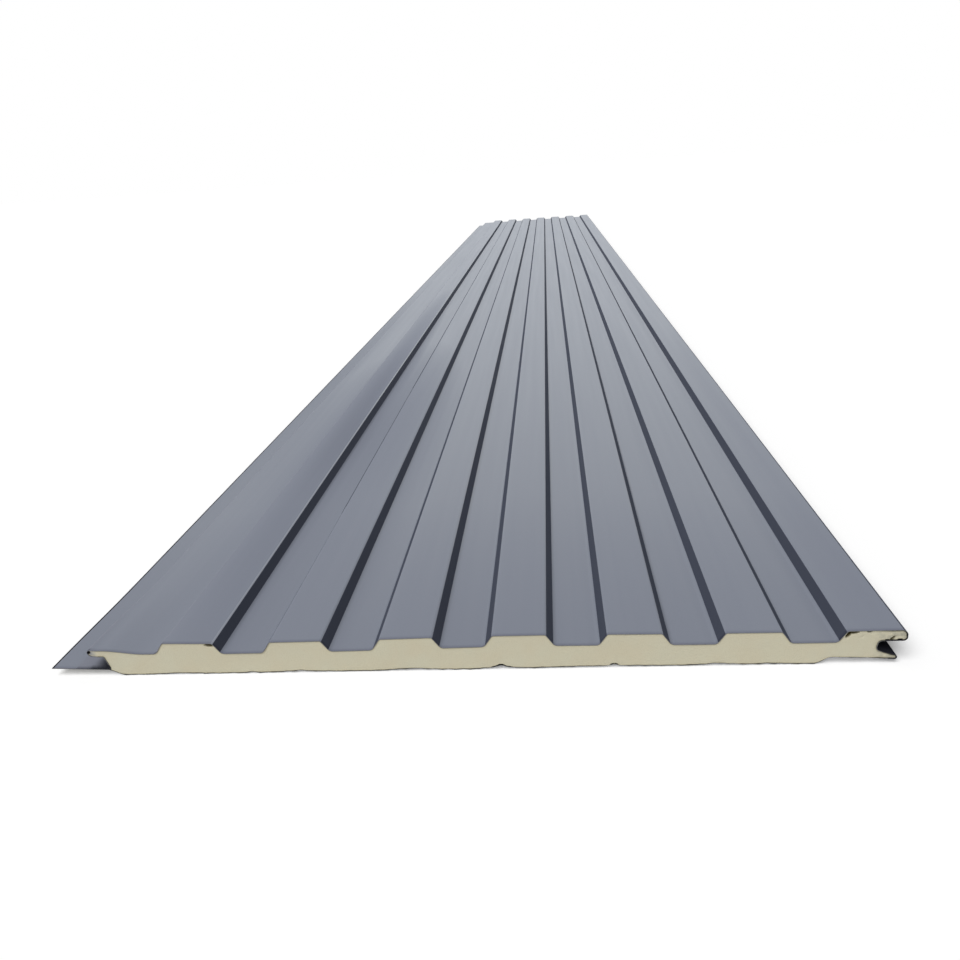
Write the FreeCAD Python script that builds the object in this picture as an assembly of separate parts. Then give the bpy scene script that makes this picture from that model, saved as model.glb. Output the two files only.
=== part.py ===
import FreeCAD, Part
import math
import os

# Insulated metal siding panel, face up: a roll-formed steel face, a foam core and a foil backing.
# Millimetres. X runs across the panel from the nailing flange to the nose, Y along it, and Z up from
# the back to the face. The origin is under the middle of the panel.

# Whole panel
panel_length = 3000.0
cover_width = 383.0  # what one panel adds to the width of a wall
panel_depth = 18.0  # from the back to the tops of the ribs
sheet_thickness = 0.3
foil_thickness = 0.2

# Ribs of the face
rib_count = 7
rib_depth = 5.9
rib_top_width = 25.6
rib_side_angle = 55.0  # degrees from the valley
rib_shoulder_radius = 1.6
rib_foot_radius = 3.0

# Nose and groove on the right long edge
nose_reach = 14.0  # from the middle of the last rib to the tip of the nose
nose_top_radius = 2.9
nose_under_radius = 1.9
groove_depth = 12.6  # from the tip of the nose to the top of the groove's back wall
groove_wall_height = 4.6
groove_wall_lean = 0.9
groove_radius = 1.7

# Lower lip of the groove, with the sheet hemmed round its tip
lip_setback = 3.8  # from the tip of the nose back to the tip of the lip
lip_tip_thickness = 2.1
lip_hem = 4.0

# Step in the back, past which the next panel's flange lies under the lip
recess_width = 30.3  # from the top of the step to the tip of the lip
step_run = 5.5
back_bend_radius = 6.0

# Tongue and nailing flange on the left long edge
tongue_thickness = 3.6
slot_wall_lean = 2.4
slot_bend_radius = 0.9  # inside the bends at the foot and the top of the slot's wall
flange_rise = 2.0  # from the back to the underside of the flange's root
flange_slope = 2.2  # degrees, upwards from the root to the edge
core_chamfer_run = 7.5

# Clearances in the joint between two panels
nose_clearance = 0.2  # nose over tongue
tongue_clearance = 2.3  # tip of the tongue to the back of the groove
lip_clearance = 2.5  # tip of the lip to the wall of the slot
flange_clearance = 1.4  # edge of the flange to the step
recess_clearance = 0.5  # lip over flange

# Places across the panel, from its joint line, and levels above its back
rib_pitch = cover_width / rib_count
rib_run = rib_depth / math.tan(math.radians(rib_side_angle))
valley_level = panel_depth - rib_depth
nose_tip = cover_width - rib_pitch / 2 + nose_reach
nose_under_level = valley_level + nose_clearance
groove_top = nose_tip - groove_depth
groove_back = groove_top - groove_wall_lean
groove_floor_level = nose_under_level - groove_wall_height
lip_tip = nose_tip - lip_setback
hem_edge = lip_tip - lip_hem
step_top = lip_tip - recess_width
step_foot = step_top - step_run
tongue_tip = groove_back - cover_width + tongue_clearance
tongue_under_level = valley_level - tongue_thickness
slot_wall_foot = lip_tip - cover_width + lip_clearance
slot_wall_top = slot_wall_foot - slot_wall_lean
flange_edge = step_top - cover_width + flange_clearance
panel_middle = (flange_edge + nose_tip) / 2


def flange_level(x):
    """Gives the level of the flange's top at a place across the panel."""
    root_level = flange_rise + sheet_thickness
    return root_level + (slot_wall_foot - x) * math.tan(math.radians(flange_slope))


def recess_level(x):
    """Gives the level of the underside over the next panel's flange."""
    return flange_level(x - cover_width) + recess_clearance


def unit(start, end):
    """Gives the direction from one point of a section to another, as (x, z)."""
    length = math.hypot(end[0] - start[0], end[1] - start[1])
    return (end[0] - start[0]) / length, (end[1] - start[1]) / length


def left_turn(arrive, leave):
    """Says whether a path turns left between two directions."""
    return arrive[0] * leave[1] - arrive[1] * leave[0] > 0


def sheet_path(corners):
    """Gives the painted side of a bent sheet as (x, z, radius), with the sheet itself on its right.

    A corner with no radius of its own gets the bend of the slot's wall.
    """
    path = []
    for index, (x, z, radius) in enumerate(corners):
        if radius is None:
            arrive = unit(corners[index - 1], corners[index])
            leave = unit(corners[index], corners[index + 1])
            radius = slot_bend_radius
            if not left_turn(arrive, leave):
                radius += sheet_thickness
        path.append((x, z, radius))
    return path


def shifted(path, distance):
    """Moves a path to its right by a distance, with each bend kept round the same centre."""
    moved = []
    for index, (x, z, radius) in enumerate(path):
        arrive = unit(path[index - 1], path[index]) if index else None
        leave = unit(path[index], path[index + 1]) if index + 1 < len(path) else None
        arrive = arrive or leave
        leave = leave or arrive
        along = 1 + arrive[0] * leave[0] + arrive[1] * leave[1]
        across_x = (arrive[1] + leave[1]) / along
        across_z = -(arrive[0] + leave[0]) / along
        if radius:
            radius += distance if left_turn(arrive, leave) else -distance
        moved.append((x + across_x * distance, z + across_z * distance, radius))
    return moved


def bend_reach(path, index):
    """Gives how far the two ends of a bend lie from its sharp corner."""
    arrive = unit(path[index - 1], path[index])
    leave = unit(path[index], path[index + 1])
    turn = math.acos(arrive[0] * leave[0] + arrive[1] * leave[1])
    return path[index][2] * math.tan(turn / 2)


def section_edges(path):
    """Makes the straight runs and bends of a path through (x, z, radius) corners."""
    edges = []
    at = FreeCAD.Vector(path[0][0], 0, path[0][1])
    for index in range(1, len(path)):
        x, z, radius = path[index]
        corner = FreeCAD.Vector(x, 0, z)
        bend_start = bend_end = corner
        if radius:
            arrive_x, arrive_z = unit(path[index - 1], path[index])
            leave_x, leave_z = unit(path[index], path[index + 1])
            arrive = FreeCAD.Vector(arrive_x, 0, arrive_z)
            leave = FreeCAD.Vector(leave_x, 0, leave_z)
            reach = bend_reach(path, index)
            bend_start = corner - arrive * reach
            bend_end = corner + leave * reach
            inward = (leave - arrive).normalize()
            bend_middle = corner + inward * (math.hypot(reach, radius) - radius)
        if (bend_start - at).Length > Part.Precision.confusion():
            edges.append(Part.LineSegment(at, bend_start).toShape())
        if radius:
            edges.append(Part.Arc(bend_start, bend_middle, bend_end).toShape())
        at = bend_end
    return edges


def closed_section(*paths):
    """Makes a face from paths that are joined end to end and closed."""
    corners = [corner for path in paths for corner in path]
    return Part.Face(Part.Wire(section_edges(corners + corners[:1])))


def full_length(section):
    """Draws a section out to the length of the panel and puts it over the origin."""
    solid = section.extrude(FreeCAD.Vector(0, panel_length, 0))
    solid.translate(FreeCAD.Vector(-panel_middle, -panel_length / 2, 0))
    return solid


def rib_corners():
    """Gives the corners of the ribbed face, from the foot of the first rib to the top of the last."""
    corners = []
    for index in range(rib_count):
        middle = (index + 0.5) * rib_pitch
        corners.append((middle - rib_top_width / 2 - rib_run, valley_level, rib_foot_radius))
        corners.append((middle - rib_top_width / 2, panel_depth, rib_shoulder_radius))
        if index + 1 < rib_count:
            corners.append((middle + rib_top_width / 2, panel_depth, rib_shoulder_radius))
            corners.append((middle + rib_top_width / 2 + rib_run, valley_level, rib_foot_radius))
    return corners


def face_path():
    """Gives the painted side of the face, from the edge of the flange to the hem of the lip."""
    tongue_fold = tongue_thickness / 2
    lip_fold = lip_tip_thickness / 2
    lip_under_level = recess_level(lip_tip)
    return sheet_path(
        [
            (flange_edge, flange_level(flange_edge), 0.0),
            (slot_wall_foot, flange_level(slot_wall_foot), None),
            (slot_wall_top, tongue_under_level, None),
            (tongue_tip, tongue_under_level, tongue_fold),
            (tongue_tip, valley_level, tongue_fold),
            *rib_corners(),
            (nose_tip, panel_depth, nose_top_radius),
            (nose_tip, nose_under_level, nose_under_radius),
            (groove_top, nose_under_level, groove_radius),
            (groove_back, groove_floor_level, groove_radius),
            (lip_tip, lip_under_level + lip_tip_thickness, lip_fold),
            (lip_tip, lip_under_level, lip_fold),
            (hem_edge, recess_level(hem_edge), 0.0),
        ]
    )


def flange_root(glued_path):
    """Gives the point on the flange's underside where its bend up into the slot's wall starts."""
    edge, corner = glued_path[:2]
    along_x, along_z = unit(edge, corner)
    reach = bend_reach(glued_path, 1)
    return corner[0] - along_x * reach, corner[1] - along_z * reach


def foil_path(root):
    """Gives the glued side of the foil, from the root of the flange to the hem of the lip."""
    return [
        (*root, 0.0),
        (root[0] + core_chamfer_run, foil_thickness, back_bend_radius),
        (step_foot, foil_thickness, back_bend_radius),
        (step_top, recess_level(step_top) + foil_thickness, back_bend_radius),
        (hem_edge, recess_level(hem_edge) + foil_thickness, 0.0),
    ]


def trimmed_upright(path, x):
    """Moves the start of a path along its first straight run to a place across the panel."""
    along_x, along_z = unit(path[0], path[1])
    start_z = path[0][1] + (x - path[0][0]) * along_z / along_x
    return [(x, start_z, 0.0), *path[1:]]


painted_side = face_path()
glued_side = shifted(painted_side, sheet_thickness)
root = flange_root(glued_side)
foil_top = foil_path(root)
foil_under = trimmed_upright(shifted(foil_top, foil_thickness), root[0])

solids = {
    "face_sheet": full_length(closed_section(painted_side, glued_side[::-1])),
    "foam_core": full_length(closed_section(foil_top[:1], glued_side[1:], foil_top[:0:-1])),
    "backing_foil": full_length(closed_section(foil_top, foil_under[::-1])),
}

os.makedirs("parts", exist_ok=True)
for name, solid in solids.items():
    solid.exportStep(f"parts/{name}.step")
    box = solid.BoundBox
    print(f"{name}: valid {solid.isValid()}, {solid.Volume:.0f} cubic mm", end=", ")
    print(f"x {box.XMin:.2f} to {box.XMax:.2f}, z {box.ZMin:.2f} to {box.ZMax:.2f}")
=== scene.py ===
import bmesh
import bpy
import math
from mathutils import Matrix, Vector, kdtree, noise


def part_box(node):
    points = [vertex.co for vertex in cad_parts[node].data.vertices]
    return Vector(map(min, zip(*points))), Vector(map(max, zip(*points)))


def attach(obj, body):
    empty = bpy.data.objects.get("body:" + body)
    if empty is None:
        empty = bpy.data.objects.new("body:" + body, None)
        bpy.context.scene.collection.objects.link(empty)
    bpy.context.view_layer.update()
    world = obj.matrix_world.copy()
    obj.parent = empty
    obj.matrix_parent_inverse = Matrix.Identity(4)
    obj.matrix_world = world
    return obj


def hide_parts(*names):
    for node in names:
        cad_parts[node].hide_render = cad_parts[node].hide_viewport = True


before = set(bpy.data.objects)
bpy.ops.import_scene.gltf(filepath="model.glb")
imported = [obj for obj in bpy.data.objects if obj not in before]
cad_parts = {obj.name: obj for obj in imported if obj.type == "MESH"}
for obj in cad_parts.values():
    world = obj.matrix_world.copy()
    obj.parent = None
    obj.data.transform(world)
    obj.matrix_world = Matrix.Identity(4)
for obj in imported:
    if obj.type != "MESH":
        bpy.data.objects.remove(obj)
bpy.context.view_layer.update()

# places of the panel, read from its CAD parts, in metres: x across, y along, z up
sheetLow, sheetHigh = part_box("face_sheet")
foamLow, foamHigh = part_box("foam_core")
foilLow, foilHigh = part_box("backing_foil")
frontEnd, farEnd = sheetLow.y, sheetHigh.y
flangeEdge, noseTip = sheetLow.x, sheetHigh.x
flangeRoot = foilLow.x

# how closely points and faces are told apart
exactness = {
    "joinGap": 0.000005, "cutGap": 0.000001, "endGap": 0.00001,
    "stripTurn": 1,  # degrees between two triangles of one strip
    "squareOn": 0.99,  # a normal this near an axis faces along it
}


def selectOnly(piece):
    bpy.ops.object.select_all(action="DESELECT")
    piece.select_set(True)
    bpy.context.view_layer.objects.active = piece


def startEdit(piece):  # opens one piece with nothing in it selected
    selectOnly(piece)
    bpy.ops.object.mode_set(mode="EDIT")
    bpy.ops.mesh.select_mode(type="FACE")
    bpy.ops.mesh.reveal(select=False)
    bpy.ops.mesh.select_all(action="DESELECT")


def endEdit():
    bpy.ops.object.mode_set(mode="OBJECT")


def pickFaces(piece, wanted):  # selects the faces whose middle and normal are wanted
    mesh = bmesh.from_edit_mesh(piece.data)
    for face in mesh.faces:
        face.select_set(wanted(face.calc_center_median(), face.normal))
    mesh.select_flush_mode()
    bmesh.update_edit_mesh(piece.data)


def isEndFace(middle, normal):
    return abs(normal.y) > exactness["squareOn"]


def isLongFace(middle, normal):
    return not isEndFace(middle, normal)


def isFrontPoint(place):
    return place.y < frontEnd + exactness["endGap"]


def within(value, limits):
    low, high = limits
    return low < value < high


def copyNode(node, name):  # a copy of a node, joined up, with its long strips as single faces
    piece = bpy.data.objects.new(name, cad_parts[node].data.copy())
    bpy.context.scene.collection.objects.link(piece)
    piece.data.materials.clear()
    startEdit(piece)
    bpy.ops.mesh.select_all(action="SELECT")
    bpy.ops.mesh.remove_doubles(threshold=exactness["joinGap"])
    pickFaces(piece, isLongFace)
    stripTurn = math.radians(exactness["stripTurn"])
    bpy.ops.mesh.tris_convert_to_quads(face_threshold=stripTurn, shape_threshold=math.pi)
    endEdit()
    bpy.ops.mesh.customdata_custom_splitnormals_clear()
    return piece


def cutAt(stations, axis):  # cuts the open piece, or what of it isn't hidden, at each station
    normal = Vector((0, 0, 0))
    normal[axis] = 1
    for station in stations:
        bpy.ops.mesh.select_all(action="SELECT")
        bpy.ops.mesh.bisect(plane_co=normal * station, plane_no=normal, threshold=exactness["cutGap"])


def evenSteps(low, high, step):  # the places between two ends, about a step apart
    count = math.ceil((high - low) / step)
    return [low + (high - low) * index / count for index in range(1, count)]


def ease(value):  # 0 to 1 with a soft start and end
    value = min(max(value, 0), 1)
    return value * value * (3 - 2 * value)


def hump(value, middle, width):  # 1 in the middle, falling off to both sides
    return math.exp(-((value - middle) / width) ** 2)


def humps(across, rows):  # sum of several, each with its place, height and width
    return sum(height * hump(across, at, width) for at, height, width in rows)


def wander(spot):  # noise from about 0 to 1
    return 0.5 + noise.noise(spot)


# how the sawn front end has sprung out of true: sheet, foam and foil all follow it
sprung = {
    "bowRise": 0.0012, "bowMiddle": 0.028, "bowWidth": 0.072, "bowSag": 0.00055, "bowLength": 0.5,
    "sagStart": -0.15, "sagRun": 0.03, "flangeLift": 0.0013,
    "tongueLift": 0.00235, "tongueHinge": -0.157, "tongueRun": 0.0235,
    "tipCurl": 0.0008, "tipStart": -0.182, "tipRun": 0.005, "tipReach": 0.0010,
    "chamferWidth": 0.0075, "cornerLength": 0.09, "stepFoot": 0.168, "stepRun": 0.008,
    "lipDroop": 0.0004, "lipStart": 0.192, "lipRun": 0.012, "lipTop": 0.008,
    "valleyLevel": 0.0121, "flangeTop": 0.004, "slotHeight": 0.006,
    "stations": (  # cuts behind the front end
        0.004, 0.010, 0.018, 0.028, 0.040, 0.053, 0.067, 0.09, 0.12, 0.17, 0.24, 0.33, 0.42, 0.5,
    ),
    "cornerStep": 0.0022, "cornerPast": 0.003,  # cuts across the flange and the tongue, to past its hinge
}
sprungStations = [frontEnd + station for station in sprung["stations"]]
cornerStations = evenSteps(flangeEdge, sprung["tongueHinge"] + sprung["cornerPast"], sprung["cornerStep"])


def springMove(place):  # how far out past the flange, and how far up
    fromEnd = place.y - frontEnd
    sag = sprung["bowSag"] * ease((place.x - sprung["sagStart"]) / sprung["sagRun"])
    bow = sprung["bowRise"] * hump(place.x, sprung["bowMiddle"], sprung["bowWidth"]) - sag
    onFace = ease(place.z / sprung["valleyLevel"])
    onLip = ease((place.x - sprung["stepFoot"]) / sprung["stepRun"])
    bow *= max(onFace, onLip) * (1 - ease(fromEnd / sprung["bowLength"]))
    toFoot = flangeRoot + sprung["chamferWidth"] - place.x
    flange = sprung["flangeLift"] * ease(toFoot / sprung["chamferWidth"])
    tongue = sprung["tongueLift"] * ease((sprung["tongueHinge"] - place.x) / sprung["tongueRun"])
    tip = ease((sprung["tipStart"] - place.x) / sprung["tipRun"])
    tongue += sprung["tipCurl"] * tip
    onTongue = ease((place.z - sprung["flangeTop"]) / sprung["slotHeight"])
    corner = flange * (1 - onTongue) + tongue * onTongue
    nearEnd = 1 - ease(fromEnd / sprung["cornerLength"])
    outward = sprung["tipReach"] * tip * onTongue * nearEnd
    droop = sprung["lipDroop"] * ease((place.x - sprung["lipStart"]) / sprung["lipRun"])
    if place.z > sprung["lipTop"]:
        droop = 0
    return outward, bow + (corner - droop) * nearEnd


# waves of the soft back: bumps and nicks along the front end, and a gentle swell behind them
backWaves = {
    "bumps": (  # place across, height, width
        (-0.141, 0.0005, 0.009), (-0.079, 0.0006, 0.012), (-0.022, 0.0009, 0.012),
        (0.020, 0.0010, 0.008), (0.070, 0.0007, 0.030), (0.124, 0.0010, 0.010), (0.147, 0.0005, 0.008),
    ),
    "nicks": (
        (-0.104, 0.0005, 0.0026), (-0.079, 0.0005, 0.0020),
        (0.0205, 0.0009, 0.0022), (0.0745, 0.0008, 0.0020),
    ),
    "bumpLength": 0.12, "nickLength": 0.006, "ragged": 0.00022, "raggedScale": 0.0035,
    "swell": 0.0006, "swellAcross": 0.06, "swellAlong": 0.21, "swellLevel": 0.7,
    "rippleShare": 0.4, "rippleScale": 2.3,  # a finer swell on the first
    "fade": 0.002, "fadeShare": 1.6, "acrossStep": 0.006, "alongStep": 0.03,
}


def cutBack():  # cuts the open piece where the waves need points
    cutAt(evenSteps(sprungStations[-1], farEnd, backWaves["alongStep"]), axis=1)
    cutAt(evenSteps(foilLow.x, foilHigh.x, backWaves["acrossStep"]), axis=0)


def backLift(place):  # how far up the waves take a point, less and less above the back
    fromEnd = place.y - frontEnd
    bumps = humps(place.x, backWaves["bumps"])
    nicks = humps(place.x, backWaves["nicks"])
    nicks += backWaves["ragged"] * wander(Vector((place.x / backWaves["raggedScale"], 0, 0)))
    spot = Vector((place.x / backWaves["swellAcross"], place.y / backWaves["swellAlong"], 0))
    ripple = backWaves["rippleShare"] * noise.noise(spot * backWaves["rippleScale"])
    swell = backWaves["swell"] * max(0, backWaves["swellLevel"] + noise.noise(spot) + ripple)
    nearEnd = 1 - ease(fromEnd / backWaves["bumpLength"])
    nearEdge = 1 - ease(fromEnd / backWaves["nickLength"])
    lift = bumps * nearEnd + swell * (1 - nearEnd) + nicks * nearEdge
    reach = max(backWaves["fade"], backWaves["fadeShare"] * lift)  # tall waves fade slowly, so none folds
    return lift * (1 - ease((place.z - foamLow.z) / reach))


def settle(piece):  # takes a piece's points to where the sprung end and the wavy back put them
    for vertex in piece.data.vertices:
        outward, lift = springMove(vertex.co)
        vertex.co.z += lift + backLift(vertex.co)
        vertex.co.x -= outward


def setPoints(piece, name, values):  # a value for each point, which a material can read
    layer = piece.data.attributes.new(name, "FLOAT", "POINT")
    for index, value in values.items():
        layer.data[index].value = value


def setMaterials(piece, materials, choose):  # choose gives the name of a face's finish
    places = {name: index for index, name in enumerate(materials)}
    for material in materials.values():
        piece.data.materials.append(material)
    for face in piece.data.polygons:
        face.material_index = places[choose(face.center, face.normal)]


def finishPiece(piece, node, smoothAngle):
    selectOnly(piece)
    bpy.ops.object.shade_smooth_by_angle(angle=math.radians(smoothAngle))
    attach(piece, "root")
    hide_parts(node)
    print(piece.name, "has", len(piece.data.polygons), "faces")


# material helpers
def newMaterial(name):
    material = bpy.data.materials.new(name)
    material.use_nodes = True
    return material, material.node_tree, material.node_tree.nodes["Principled BSDF"]


def join(tree, made, inputs):  # sets a node's sockets, or links them
    for name, value in inputs.items():
        if isinstance(value, bpy.types.NodeSocket):
            tree.links.new(value, made.inputs[name])
        else:
            made.inputs[name].default_value = value


def add(tree, kind, inputs, **settings):  # a node with its sockets set or joined
    made = tree.nodes.new("ShaderNode" + kind)
    for name, value in settings.items():
        setattr(made, name, value)
    join(tree, made, inputs)
    return made


def maths(tree, operation, *values):
    return add(tree, "Math", dict(enumerate(values)), operation=operation).outputs[0]


def objectPlace(tree):
    return add(tree, "TexCoord", {}).outputs["Object"]


def placeParts(tree):  # x, y and z on the piece
    return add(tree, "SeparateXYZ", {"Vector": objectPlace(tree)}).outputs


def pointValue(tree, name):  # what setPoints wrote
    return add(tree, "Attribute", {}, attribute_name=name).outputs["Fac"]


def grain(tree, scale, detail, roughness=0.5):  # noise on object coordinates, scale for each axis
    stretch = add(tree, "Mapping", {"Vector": objectPlace(tree), "Scale": scale})
    made = add(tree, "TexNoise", {
        "Vector": stretch.outputs[0], "Scale": 1.0, "Detail": detail, "Roughness": roughness,
    })
    return made.outputs["Fac"]


def remap(tree, value, limits, spread=(0.0, 1.0)):  # takes one range of values to another
    return add(tree, "MapRange", {
        "Value": value, "From Min": limits[0], "From Max": limits[1],
        "To Min": spread[0], "To Max": spread[1],
    }).outputs["Result"]


def blendColours(tree, factor, first, second, blend="MIX"):  # a Mix node's colours are sockets 6, 7 and 2
    made = add(tree, "Mix", {0: factor, 6: first, 7: second}, data_type="RGBA", blend_type=blend)
    return made.outputs[2]


def bump(tree, height, strength, depth):
    return add(tree, "Bump", {"Height": height, "Strength": strength, "Distance": depth}).outputs["Normal"]


def nearEnds(tree, start, stop):  # 0 inside the panel, 1 at its sawn ends
    along = maths(tree, "ABSOLUTE", placeParts(tree)["Y"])
    return remap(tree, along, (farEnd - start, farEnd - stop))


# face sheet: painted, roll-formed steel
mainPaint = {
    "paint": (0.105, 0.117, 0.154, 1), "paintLight": (0.115, 0.128, 0.167, 1),
    "paintEnd": (0.05, 0.056, 0.09, 1),
}
faceSettings = {
    "flats": {
        **mainPaint, "ior": 2.0, "roughness": (0.28, 0.32),
        "mattPatches": (  # middle across and along, reach across and along, loss of gloss
            ((-0.112, -1.17), (0.083, 0.40), 0.45), ((-0.131, -1.00), (0.025, 0.70), 0.45),
            ((0.200, -1.45), (0.030, 0.70), 0.16), ((0.000, -1.50), (1.000, 0.18), 0.25),
            ((-0.208, -0.95), (0.042, 0.75), 0.22),
        ),
    },
    "sides": {  # painted shade: rib sides, darker than the flats, and matt
        "paint": (0.044, 0.050, 0.070, 1), "paintLight": (0.050, 0.056, 0.078, 1),
        "paintEnd": (0.03, 0.033, 0.05, 1), "ior": 1.2, "roughness": (0.66, 0.74),
    },
    "shadedInsides": {  # painted shade: slot, groove, tongue's fold and flange's sheared edge, near black and dull
        "paint": (0.016, 0.017, 0.023, 1), "paintLight": (0.020, 0.021, 0.027, 1),
        "paintEnd": (0.012, 0.012, 0.016, 1), "ior": 1.04, "roughness": (0.85, 0.95),
    },
    "shade": {  # flange under the tongue, which darkens towards the slot
        "paint": (0.205, 0.215, 0.255, 1), "paintLight": (0.215, 0.225, 0.265, 1),
        "paintEnd": (0.09, 0.095, 0.12, 1), "ior": 1.2, "roughness": (0.66, 0.74),
    },
    "bend": {  # right shoulder of the first rib, which keeps its gloss beside the matt patches
        **mainPaint, "ior": 2.6, "roughness": (0.20, 0.24),
        "mattPatches": (((0.000, -1.50), (1.000, 0.50), 0.45),),
    },
    "steel": (0.20, 0.20, 0.19, 1), "steelDark": (0.10, 0.10, 0.095, 1),
    "steelRoughness": 0.55, "steelMetallic": 0.3,
    "rimDark": (0.012, 0.012, 0.014, 1), "tipPaint": (0.15, 0.155, 0.18, 1),
    "primer": (0.42, 0.42, 0.38, 1), "primerDark": (0.34, 0.34, 0.31, 1), "primerRoughness": 0.6,
    # noises: scale for each axis, detail
    "clouds": ((16, 4, 16), 4), "flakes": ((2300, 2300, 2300), 1), "rubs": ((170, 3, 170), 3),
    "peel": ((620, 620, 620), 1), "burrs": ((900, 900, 900), 3),
    "primerClouds": ((40, 6, 40), 4), "primerGrain": ((900, 900, 900), 2),
    "grainRange": (0.3, 0.7), "flakeShade": (0.93, 0.93, 0.94, 1),
    "peelBump": (0.15, 0.00008), "burrBump": (0.4, 0.0001), "primerBump": (0.2, 0.00005),  # strength, depth
    "endLine": (0.0025, 0.0004),  # where the dark line at a sawn end starts, and where it is full
    # parts of the cut edge that are not plain steel
    "tipPart": (-0.1835, -0.1810), "noseRim": (0.1955, 0.1985), "noseRimTop": (0.0176, 0.0166),
    "flangeRimShade": (0.006, 0.0065),
    # which faces get which finish: places, levels and leans
    "primerPast": 0.0002, "primerTop": 0.004, "primerNormal": -0.5,
    "shadeStart": -0.1945, "shadeNormal": 0.8, "shadeTop": 0.006,
    "tipInside": -0.183, "tipLevels": (0.0087, 0.0119), "tipNormal": 0.05, "shearedEdge": 0.0009,
    "slotMouth": -0.1815, "slotPast": 0.005, "slotTop": 0.0118,
    "grooveBack": 0.190, "grooveLevels": (0.0022, 0.0138),
    "leftPart": -0.13, "leftNormal": -0.10, "steepNormal": 0.70, "nosePart": 0.2, "noseNormal": 0.3,
    "shadedBendSides": (  # sides whose bends also get the painted shade of the rib sides: from and to, start behind the front end, least lean
        ((-0.0995, -0.0910), 0.50, 0.40), ((-0.0995, -0.0910), 0.20, 0.52), ((0.1505, 0.1585), 0.0, 0.52),
    ),
    "bendPart": (-0.1226, -0.1210), "bendNormal": 0.1,
    "flangeShade": (-0.1895, 0.0105), "sawnShade": (-0.1895, 0.0035),  # painted shade under the tongue: start, run
    "flatStep": 0.009, "smoothAngle": 30,
}


def softPatch(tree, middle, reach):  # 1 in the middle of a patch of the face, 0 at its edge
    location = [-place / size for place, size in zip(middle, reach)] + [0]
    scale = [1 / size for size in reach] + [0]
    spot = add(tree, "Mapping", {"Vector": objectPlace(tree), "Location": location, "Scale": scale})
    return add(tree, "TexGradient", {"Vector": spot.outputs[0]}, gradient_type="SPHERICAL").outputs["Fac"]


def makePaint(name, finish):
    material, tree, shader = newMaterial(name)
    clouds = grain(tree, *faceSettings["clouds"])
    colour = blendColours(tree, clouds, finish["paint"], finish["paintLight"])
    flakes = remap(tree, grain(tree, *faceSettings["flakes"]), faceSettings["grainRange"])
    colour = blendColours(tree, flakes, colour, faceSettings["flakeShade"], blend="MULTIPLY")
    colour = blendColours(tree, nearEnds(tree, *faceSettings["endLine"]), colour, finish["paintEnd"])
    # painted shade: the dull point value darkens the paint to the insides' near-black colour, and raises the
    # roughness
    dull = pointValue(tree, "dull")
    colour = blendColours(tree, dull, colour, faceSettings["shadedInsides"]["paint"])
    rubbed = grain(tree, *faceSettings["rubs"])
    rubbed = remap(tree, rubbed, faceSettings["grainRange"], finish["roughness"])
    for middle, reach, loss in finish.get("mattPatches", ()):
        rubbed = maths(tree, "MULTIPLY_ADD", softPatch(tree, middle, reach), loss, rubbed)
    rubbed = maths(tree, "MAXIMUM", rubbed, dull)
    peel = bump(tree, grain(tree, *faceSettings["peel"]), *faceSettings["peelBump"])
    join(tree, shader, {"Base Color": colour, "Roughness": rubbed, "Normal": peel, "IOR": finish["ior"]})
    return material


def makeSteel():  # bare metal of the sheet's cut edges, dark round the nose, with painted shade along the flange's low edges
    material, tree, shader = newMaterial("cutSteel")
    spots = grain(tree, *faceSettings["burrs"])
    colour = blendColours(tree, spots, faceSettings["steelDark"], faceSettings["steel"])
    parts = placeParts(tree)
    tip = remap(tree, parts["X"], faceSettings["tipPart"], (1.0, 0.0))
    colour = blendColours(tree, tip, colour, faceSettings["tipPaint"])
    noseRim = remap(tree, parts["X"], faceSettings["noseRim"])
    noseRim = maths(tree, "MULTIPLY", noseRim, remap(tree, parts["Z"], faceSettings["noseRimTop"]))
    # painted shade: cut edges low on the flange are painted near black
    flangeRimShade = remap(tree, parts["Z"], faceSettings["flangeRimShade"], (1.0, 0.0))
    rims = maths(tree, "MAXIMUM", noseRim, flangeRimShade)
    colour = blendColours(tree, rims, colour, faceSettings["rimDark"])
    join(tree, shader, {
        "Base Color": colour, "Roughness": faceSettings["steelRoughness"],
        "Metallic": faceSettings["steelMetallic"], "Normal": bump(tree, spots, *faceSettings["burrBump"]),
    })
    return material


def makePrimer():  # thin coat on the sheet's back, bare under the flange
    material, tree, shader = newMaterial("backCoat")
    clouds = grain(tree, *faceSettings["primerClouds"])
    colour = blendColours(tree, clouds, faceSettings["primerDark"], faceSettings["primer"])
    fine = bump(tree, grain(tree, *faceSettings["primerGrain"]), *faceSettings["primerBump"])
    join(tree, shader, {"Base Color": colour, "Roughness": faceSettings["primerRoughness"], "Normal": fine})
    return material


def steepest(middle):  # how far a face may lean before it is a rib's side, which gets painted shade
    if middle.x > faceSettings["nosePart"]:
        return faceSettings["noseNormal"]
    for part, start, lean in faceSettings["shadedBendSides"]:
        if within(middle.x, part) and middle.y > frontEnd + start:
            return lean
    return faceSettings["steepNormal"]


def isPrimed(middle, normal):
    onFlange = middle.x < flangeRoot + faceSettings["primerPast"] and middle.z < faceSettings["primerTop"]
    return onFlange and normal.z < faceSettings["primerNormal"]


def isShaded(middle, normal):  # top of the flange under the tongue
    onFlange = within(middle.x, (faceSettings["shadeStart"], flangeRoot))
    return onFlange and middle.z < faceSettings["shadeTop"] and normal.z > faceSettings["shadeNormal"]


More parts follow.
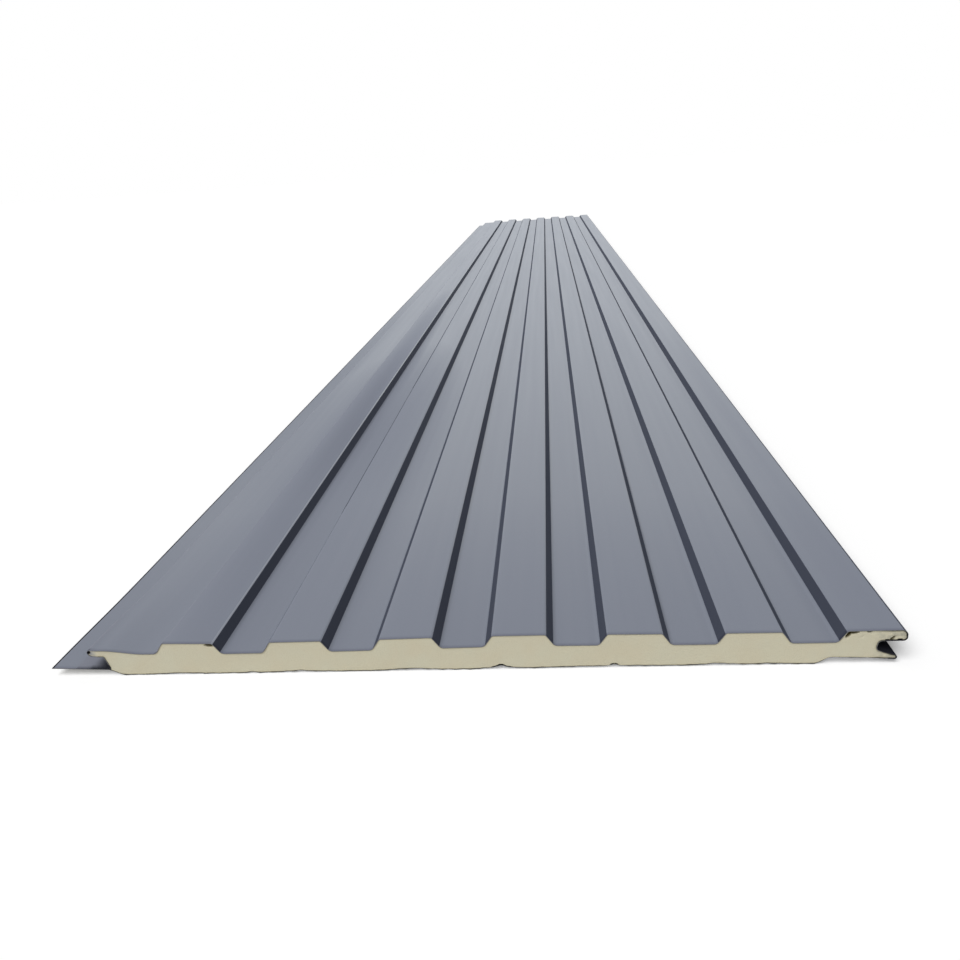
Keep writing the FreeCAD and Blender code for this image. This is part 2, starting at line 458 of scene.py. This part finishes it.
def isShadedInside(middle, normal):  # faces with the painted shade of the insides: tongue's fold, flange's sheared edge, slot and groove
    inFold = middle.x < faceSettings["tipInside"] and within(middle.z, faceSettings["tipLevels"])
    if inFold and normal.x > faceSettings["tipNormal"]:
        return True
    if middle.x < flangeEdge + faceSettings["shearedEdge"]:
        return True
    slot = faceSettings["slotMouth"], flangeRoot + faceSettings["slotPast"]
    if within(middle.x, slot) and middle.z < faceSettings["slotTop"]:
        return True
    inGroove = middle.x > faceSettings["grooveBack"] and within(middle.z, faceSettings["grooveLevels"])
    return inGroove and abs(normal.x) < exactness["squareOn"]


def sheetFinish(middle, normal):
    if isEndFace(middle, normal):
        return "cut"
    if isPrimed(middle, normal):
        return "primer"
    if isShaded(middle, normal):
        return "shade"
    if isShadedInside(middle, normal):
        return "shadedInsides"
    if middle.x < faceSettings["leftPart"] and normal.x < faceSettings["leftNormal"]:
        return "shade"
    # steep faces get the darker side paint, a painted shade
    if abs(normal.x) > steepest(middle):
        return "sides"
    onBend = within(middle.x, faceSettings["bendPart"]) and normal.x > faceSettings["bendNormal"]
    return "bend" if onBend and normal.z > 0 else "flats"


def slotShade(place):  # painted shade under the tongue: the flange darkens and turns dull towards the slot
    if place.z > faceSettings["shadeTop"]:
        return 0
    start, run = faceSettings["sawnShade" if isFrontPoint(place) else "flangeShade"]
    return ease((place.x - start) / run)


def makeFaceSheet():
    piece = copyNode("face_sheet", "faceSheet")
    startEdit(piece)
    cutAt(sprungStations, axis=1)
    cutAt(cornerStations + evenSteps(cornerStations[-1], noseTip, faceSettings["flatStep"]), axis=0)
    cutAt([flangeEdge + faceSettings["shearedEdge"]], axis=0)
    endEdit()
    setMaterials(piece, {
        "flats": makePaint("flatPaint", faceSettings["flats"]),
        "sides": makePaint("ribSideShadePaint", faceSettings["sides"]),
        "shadedInsides": makePaint("insideShadePaint", faceSettings["shadedInsides"]),
        "cut": makeSteel(),
        "primer": makePrimer(),
        "shade": makePaint("shadePaint", faceSettings["shade"]),
        "bend": makePaint("bendPaint", faceSettings["bend"]),
    }, sheetFinish)
    # painted shade under the tongue, stored for each point as dull
    setPoints(piece, "dull", {point.index: slotShade(point.co) for point in piece.data.vertices})
    settle(piece)
    finishPiece(piece, "face_sheet", faceSettings["smoothAngle"])


# foam core: cream rigid foam, sawn at both ends
foamSettings = {
    "cream": (0.515, 0.490, 0.375, 1), "creamWarm": (0.515, 0.475, 0.355, 1),
    "skin": (0.47, 0.43, 0.29, 1), "pore": (0.36, 0.32, 0.2, 1),
    "noseGrey": (0.33, 0.32, 0.255, 1), "tipGrey": (0.20, 0.21, 0.24, 1),
    "rimDark": (0.012, 0.012, 0.012, 1), "baseDark": (0.045, 0.042, 0.03, 1),
    # painted shade in the hollows: brown where shallow, near black where deep
    "hollow": (0.035, 0.032, 0.016, 1), "hollowBrown": (0.12, 0.095, 0.03, 1),
    "roughness": 0.85, "shine": 0.25,
    # noises: scale for each axis, detail, and the range that shows
    "patches": ((70, 70, 70), 3), "patchRange": (0.35, 0.65),
    "smudges": ((420, 420, 420), 3), "smudgeRange": (0.35, 0.6),
    "torn": ((160, 160, 160), 3), "tornRange": (0.38, 0.46), "tornShare": (0.3, 1.0),
    "cellScale": 1700.0, "cellRange": (0.0, 0.35), "cellShare": (0.35, 0.0), "cellBump": (0.5, 0.0002),
    # where the nose and the tip of the tongue turn grey, and how point values fade in
    "nosePart": (0.193, 0.201), "tipPart": (-0.1860, -0.1820),
    "skinRange": (0.2, 1.0), "skinShare": (0.0, 0.7), "rimRange": (0.35, 0.8), "baseRange": (0.6, 0.85),
    "brownRange": (0.05, 0.3), "hollowRange": (0.4, 0.8),
    "skinDepth": 0.0006, "baseTop": 0.0025, "baseDepth": 0.0004,
    "backNormal": -0.9, "acrossStep": 0.0011, "upStep": 0.0009, "smoothAngle": 40,
    "fineStep": 0.00025,
    "finePatches": (  # from, to, bottom, top
        (-0.1865, -0.182, 0.0085, 0.012), (-0.127, -0.119, 0.0150, 0.0178),
        (0.1780, 0.1930, 0.0125, 0.0178), (0.1965, 0.2075, 0.0120, 0.0146),
        (0.0165, 0.0245, 0.0000, 0.0034), (0.0715, 0.0775, 0.0000, 0.0030),
    ),
    "inset": 0.0001, "wander": 0.0002, "wanderScale": 0.02,
    "poreDepth": 0.0004, "poreScale": 0.0022, "poreLevel": 0.35,
    "deepVoid": 0.005, "voidFloor": 0.7, "voidSlope": 0.6,
    "voids": (  # place across, level, half width, half height, turn, depth
        (-0.1228, 0.0169, 0.0026, 0.0010, 0, 0.0022), (0.1818, 0.0160, 0.0020, 0.0008, 52, 0.005),
        (0.1836, 0.0171, 0.0023, 0.0009, 4, 0.005),
        (0.1907, 0.0174, 0.0010, 0.0004, 0, 0.003), (0.2013, 0.0135, 0.0012, 0.0006, 35, 0.0014),
        (0.2046, 0.0129, 0.0010, 0.0004, 0, 0.002), (0.1990, 0.0128, 0.0009, 0.0003, 0, 0.002),
        (-0.1857, 0.0106, 0.0007, 0.0009, 0, 0.012),
        (0.0190, 0.0008, 0.0016, 0.0007, 0, 0.003), (0.0216, 0.0009, 0.0011, 0.0009, 0, 0.004),
        (0.0205, 0.0004, 0.0042, 0.0004, 0, 0.003),
        (0.0735, 0.0008, 0.0008, 0.0008, 0, 0.004), (0.0757, 0.0006, 0.0007, 0.0006, 0, 0.004),
    ),
}


def sawnDepth(place):  # how far behind its plane a point of a sawn end lies
    uneven = foamSettings["wander"] * wander(place / foamSettings["wanderScale"])
    pores = max(0, noise.noise(place / foamSettings["poreScale"]) - foamSettings["poreLevel"])
    return foamSettings["inset"] + uneven + pores * foamSettings["poreDepth"]


def voidDepth(place):  # hollows that the foam left behind the sheet at the front end, and notches in its back
    deepest = 0
    for across, level, halfWidth, halfHeight, turn, depth in foamSettings["voids"]:
        away = Matrix.Rotation(math.radians(-turn), 2) @ Vector((place.x - across, place.z - level))
        out = math.hypot(away.x / halfWidth, away.y / halfHeight)
        slope = ease((out - foamSettings["voidFloor"]) / foamSettings["voidSlope"])
        deepest = max(deepest, depth * (1 - slope))
    return deepest


def rimValues(piece, endPoints, rimPoints, depth):  # 1 at the rim of a sawn end, fading inwards
    tree = kdtree.KDTree(len(rimPoints))
    for index in rimPoints:
        tree.insert(piece.data.vertices[index].co, index)
    tree.balance()
    away = {index: tree.find(piece.data.vertices[index].co)[2] for index in endPoints}
    return {index: math.exp(-distance / depth) for index, distance in away.items()}


def makeFoam():
    material, tree, shader = newMaterial("creamFoam")
    patches = remap(tree, grain(tree, *foamSettings["patches"]), foamSettings["patchRange"])
    colour = blendColours(tree, patches, foamSettings["cream"], foamSettings["creamWarm"])
    parts = placeParts(tree)
    nose = remap(tree, parts["X"], foamSettings["nosePart"])
    smudges = remap(tree, grain(tree, *foamSettings["smudges"]), foamSettings["smudgeRange"])
    colour = blendColours(tree, maths(tree, "MULTIPLY", nose, smudges), colour, foamSettings["noseGrey"])
    crimped = remap(tree, parts["X"], foamSettings["tipPart"], (1.0, 0.0))
    colour = blendColours(tree, crimped, colour, foamSettings["tipGrey"])
    skin = pointValue(tree, "skin")
    skinShare = remap(tree, skin, foamSettings["skinRange"], foamSettings["skinShare"])
    colour = blendColours(tree, skinShare, colour, foamSettings["skin"])
    base = remap(tree, pointValue(tree, "base"), foamSettings["baseRange"])
    torn = grain(tree, *foamSettings["torn"])
    torn = remap(tree, torn, foamSettings["tornRange"], foamSettings["tornShare"])
    colour = blendColours(tree, maths(tree, "MULTIPLY", base, torn), colour, foamSettings["baseDark"])
    rim = maths(tree, "MULTIPLY", nose, remap(tree, skin, foamSettings["rimRange"]))
    rim = maths(tree, "MULTIPLY", rim, remap(tree, parts["Z"], faceSettings["noseRimTop"]))
    colour = blendColours(tree, rim, colour, foamSettings["rimDark"])
    # painted shade: the hollows turn brown and then near black with their depth
    hollow = pointValue(tree, "hollow")
    brown = remap(tree, hollow, foamSettings["brownRange"])
    colour = blendColours(tree, brown, colour, foamSettings["hollowBrown"])
    deep = remap(tree, hollow, foamSettings["hollowRange"])
    colour = blendColours(tree, deep, colour, foamSettings["hollow"])
    cells = add(tree, "TexVoronoi", {"Vector": objectPlace(tree), "Scale": foamSettings["cellScale"]})
    cells = cells.outputs["Distance"]
    openCells = remap(tree, cells, foamSettings["cellRange"], foamSettings["cellShare"])
    colour = blendColours(tree, openCells, colour, foamSettings["pore"])
    join(tree, shader, {
        "Base Color": colour, "Roughness": foamSettings["roughness"],
        "Specular IOR Level": foamSettings["shine"], "Normal": bump(tree, cells, *foamSettings["cellBump"]),
    })
    return material


def cutFoam(piece):  # cuts the foam's back and ends where they need points
    startEdit(piece)
    pickFaces(piece, isEndFace)
    bpy.ops.mesh.dissolve_faces()
    cutAt(sprungStations, axis=1)
    cutAt(cornerStations, axis=0)
    pickFaces(piece, lambda middle, normal: normal.z < foamSettings["backNormal"])
    bpy.ops.mesh.hide(unselected=True)
    cutBack()
    endEdit()
    startEdit(piece)
    pickFaces(piece, isEndFace)
    bpy.ops.mesh.hide(unselected=True)
    cutAt(evenSteps(foamLow.x, foamHigh.x, foamSettings["acrossStep"]), axis=0)
    cutAt(evenSteps(foamLow.z, foamHigh.z, foamSettings["upStep"]), axis=2)
    endEdit()
    for low, high, bottom, top in foamSettings["finePatches"]:
        startEdit(piece)
        pickFaces(piece, lambda middle, normal: (
            normal.y < -exactness["squareOn"] and low < middle.x < high and bottom < middle.z < top
        ))
        bpy.ops.mesh.hide(unselected=True)
        cutAt(evenSteps(low, high, foamSettings["fineStep"]), axis=0)
        cutAt(evenSteps(bottom, top, foamSettings["fineStep"]), axis=2)
        endEdit()


def sawEnds(piece):  # roughens both ends, hollows the front one and marks their rims
    points = piece.data.vertices
    sides = [face for face in piece.data.polygons if isLongFace(face.center, face.normal)]
    ends = [face for face in piece.data.polygons if isEndFace(face.center, face.normal)]
    endPoints = {index for face in ends for index in face.vertices}
    rimPoints = endPoints & {index for face in sides for index in face.vertices}
    basePoints = [index for index in rimPoints if points[index].co.z < foamSettings["baseTop"]]
    setPoints(piece, "skin", rimValues(piece, endPoints, rimPoints, foamSettings["skinDepth"]))
    setPoints(piece, "base", rimValues(piece, endPoints, basePoints, foamSettings["baseDepth"]))
    hollows = {}
    for index in endPoints:
        place = points[index].co
        if place.y < 0:  # front end
            hollow = voidDepth(place)
            hollows[index] = hollow / foamSettings["deepVoid"]
            place.y += sawnDepth(place) + hollow
        else:
            place.y -= sawnDepth(place)
    setPoints(piece, "hollow", hollows)


def makeFoamCore():
    piece = copyNode("foam_core", "foamCore")
    cutFoam(piece)
    sawEnds(piece)
    setMaterials(piece, {"foam": makeFoam()}, lambda middle, normal: "foam")
    settle(piece)
    finishPiece(piece, "foam_core", foamSettings["smoothAngle"])


# backing foil: thin, dull and crinkled
foilSettings = {
    "foil": (0.50, 0.51, 0.52, 1), "dull": (0.42, 0.42, 0.42, 1), "edge": (0.035, 0.033, 0.03, 1),
    "fleck": (0.45, 0.43, 0.34, 1), "roughness": (0.38, 0.55), "metallic": 0.85,
    # noises: scale for each axis, detail, roughness
    "clouds": ((30, 12, 30), 5), "cloudRange": (0.35, 0.65),
    "flecks": ((260, 260, 260), 3), "fleckRange": (0.64, 0.70),
    "creases": ((90, 60, 90), 6, 0.6), "creaseBump": (0.5, 0.0006),
    "edgeLine": (0.002, 0.0008),  # where the dark edge at an end starts, and where it is full
    "edgeStep": 0.0015, "edgeWander": 0.0004, "edgeRow": 3, "smoothAngle": 30,
}


def makeFoil():
    material, tree, shader = newMaterial("dullFoil")
    clouds = remap(tree, grain(tree, *foilSettings["clouds"]), foilSettings["cloudRange"])
    colour = blendColours(tree, clouds, foilSettings["foil"], foilSettings["dull"])
    flecks = remap(tree, grain(tree, *foilSettings["flecks"]), foilSettings["fleckRange"])
    edge = blendColours(tree, flecks, foilSettings["edge"], foilSettings["fleck"])
    colour = blendColours(tree, nearEnds(tree, *foilSettings["edgeLine"]), colour, edge)
    creases = bump(tree, grain(tree, *foilSettings["creases"]), *foilSettings["creaseBump"])
    matt = remap(tree, clouds, (0.0, 1.0), foilSettings["roughness"])
    join(tree, shader, {
        "Base Color": colour, "Roughness": matt, "Metallic": foilSettings["metallic"], "Normal": creases,
    })
    return material


def makeBackingFoil():
    piece = copyNode("backing_foil", "backingFoil")
    startEdit(piece)
    cutAt(sprungStations, axis=1)
    cutBack()
    pickFaces(piece, lambda middle, normal: middle.y < sprungStations[0])
    bpy.ops.mesh.hide(unselected=True)
    cutAt(evenSteps(foilLow.x, foilHigh.x, foilSettings["edgeStep"]), axis=0)
    endEdit()
    for vertex in piece.data.vertices:  # torn front edge
        place = vertex.co
        if isFrontPoint(place):
            torn = wander(Vector((place.x / backWaves["raggedScale"], foilSettings["edgeRow"], 0)))
            place.y += foilSettings["edgeWander"] * max(0, torn)
    setMaterials(piece, {"foil": makeFoil()}, lambda middle, normal: "foil")
    settle(piece)
    finishPiece(piece, "backing_foil", foilSettings["smoothAngle"])


makeFaceSheet()
makeFoamCore()
makeBackingFoil()

# camera at the photo's place, angles in degrees
cameraSettings = {
    "place": (0.050097, -1.838551, 0.228689), "turn": 5.623, "tip": -20.954, "roll": 4.151,
    "lens": 30.922, "sensor": 36.0,
}


def makeCamera():
    camera = bpy.data.objects.new("camera", bpy.data.cameras.new("camera"))
    camera.data.lens = cameraSettings["lens"]
    camera.data.sensor_width = cameraSettings["sensor"]
    turn = Matrix.Rotation(math.radians(cameraSettings["turn"]), 4, "Z")
    tip = Matrix.Rotation(math.radians(90 + cameraSettings["tip"]), 4, "X")  # 90 looks level
    roll = Matrix.Rotation(math.radians(-cameraSettings["roll"]), 4, "Z")
    camera.matrix_world = Matrix.Translation(cameraSettings["place"]) @ turn @ tip @ roll
    bpy.context.scene.collection.objects.link(camera)
    bpy.context.scene.camera = camera


# studio: pale floor, white behind it, one wide soft lamp
studio = {
    "floorSize": 60.0, "floorDrop": 0.0003, "floorColour": (0.8, 0.8, 0.8, 1), "floorLift": 0.22,
    "white": (1, 1, 1, 1), "mirrorWhite": (0.92, 0.96, 1.0, 1), "roomLight": 0.22,
    "lampPower": 3.0, "lampAngle": 45, "lampAim": (0.32, 0.5, -0.81),
}


def seenRays(tree):  # 1 where the camera, a reflection or a view through something looks
    rays = add(tree, "LightPath", {}).outputs
    seen = maths(tree, "MAXIMUM", rays["Is Camera Ray"], rays["Is Glossy Ray"])
    return maths(tree, "MAXIMUM", seen, rays["Is Transmission Ray"])


def makeFloor():
    bpy.ops.object.select_all(action="DESELECT")
    bpy.ops.mesh.primitive_plane_add(size=studio["floorSize"], location=(0, 0, -studio["floorDrop"]))
    floor = bpy.context.object
    floor.name = "floor"
    material, tree, shader = newMaterial("paleFloor")
    join(tree, shader, {"Base Color": studio["floorColour"], "Roughness": 1.0, "Specular IOR Level": 0.0})
    glow = add(tree, "Emission", {"Strength": studio["floorLift"]})
    both = add(tree, "AddShader", {0: shader.outputs[0], 1: glow.outputs[0]})
    choose = add(tree, "MixShader", {0: seenRays(tree), 1: shader.outputs[0], 2: both.outputs[0]})
    join(tree, tree.nodes["Material Output"], {"Surface": choose.outputs[0]})
    floor.data.materials.append(material)


def makeRoom():
    world = bpy.data.worlds.new("room")
    bpy.context.scene.world = world
    world.use_nodes = True
    tree = world.node_tree
    tree.nodes.clear()
    light = add(tree, "Background", {"Color": studio["white"], "Strength": studio["roomLight"]})
    mirrored = add(tree, "LightPath", {}).outputs["Is Glossy Ray"]  # cool daylight in what the paint mirrors
    backdrop = blendColours(tree, mirrored, studio["white"], studio["mirrorWhite"])
    white = add(tree, "Background", {"Color": backdrop, "Strength": 1.0})
    choose = add(tree, "MixShader", {0: seenRays(tree), 1: light.outputs[0], 2: white.outputs[0]})
    add(tree, "OutputWorld", {"Surface": choose.outputs[0]})


def makeLamp():
    lamp = bpy.data.objects.new("softLamp", bpy.data.lights.new("softLamp", "SUN"))
    lamp.data.energy = studio["lampPower"]
    lamp.data.angle = math.radians(studio["lampAngle"])
    lamp.rotation_euler = Vector(studio["lampAim"]).to_track_quat("-Z", "Y").to_euler()
    bpy.context.scene.collection.objects.link(lamp)


makeCamera()
makeFloor()
makeRoom()
makeLamp()
bpy.context.scene.view_settings.view_transform = "Standard"
print("camera and studio are ready")
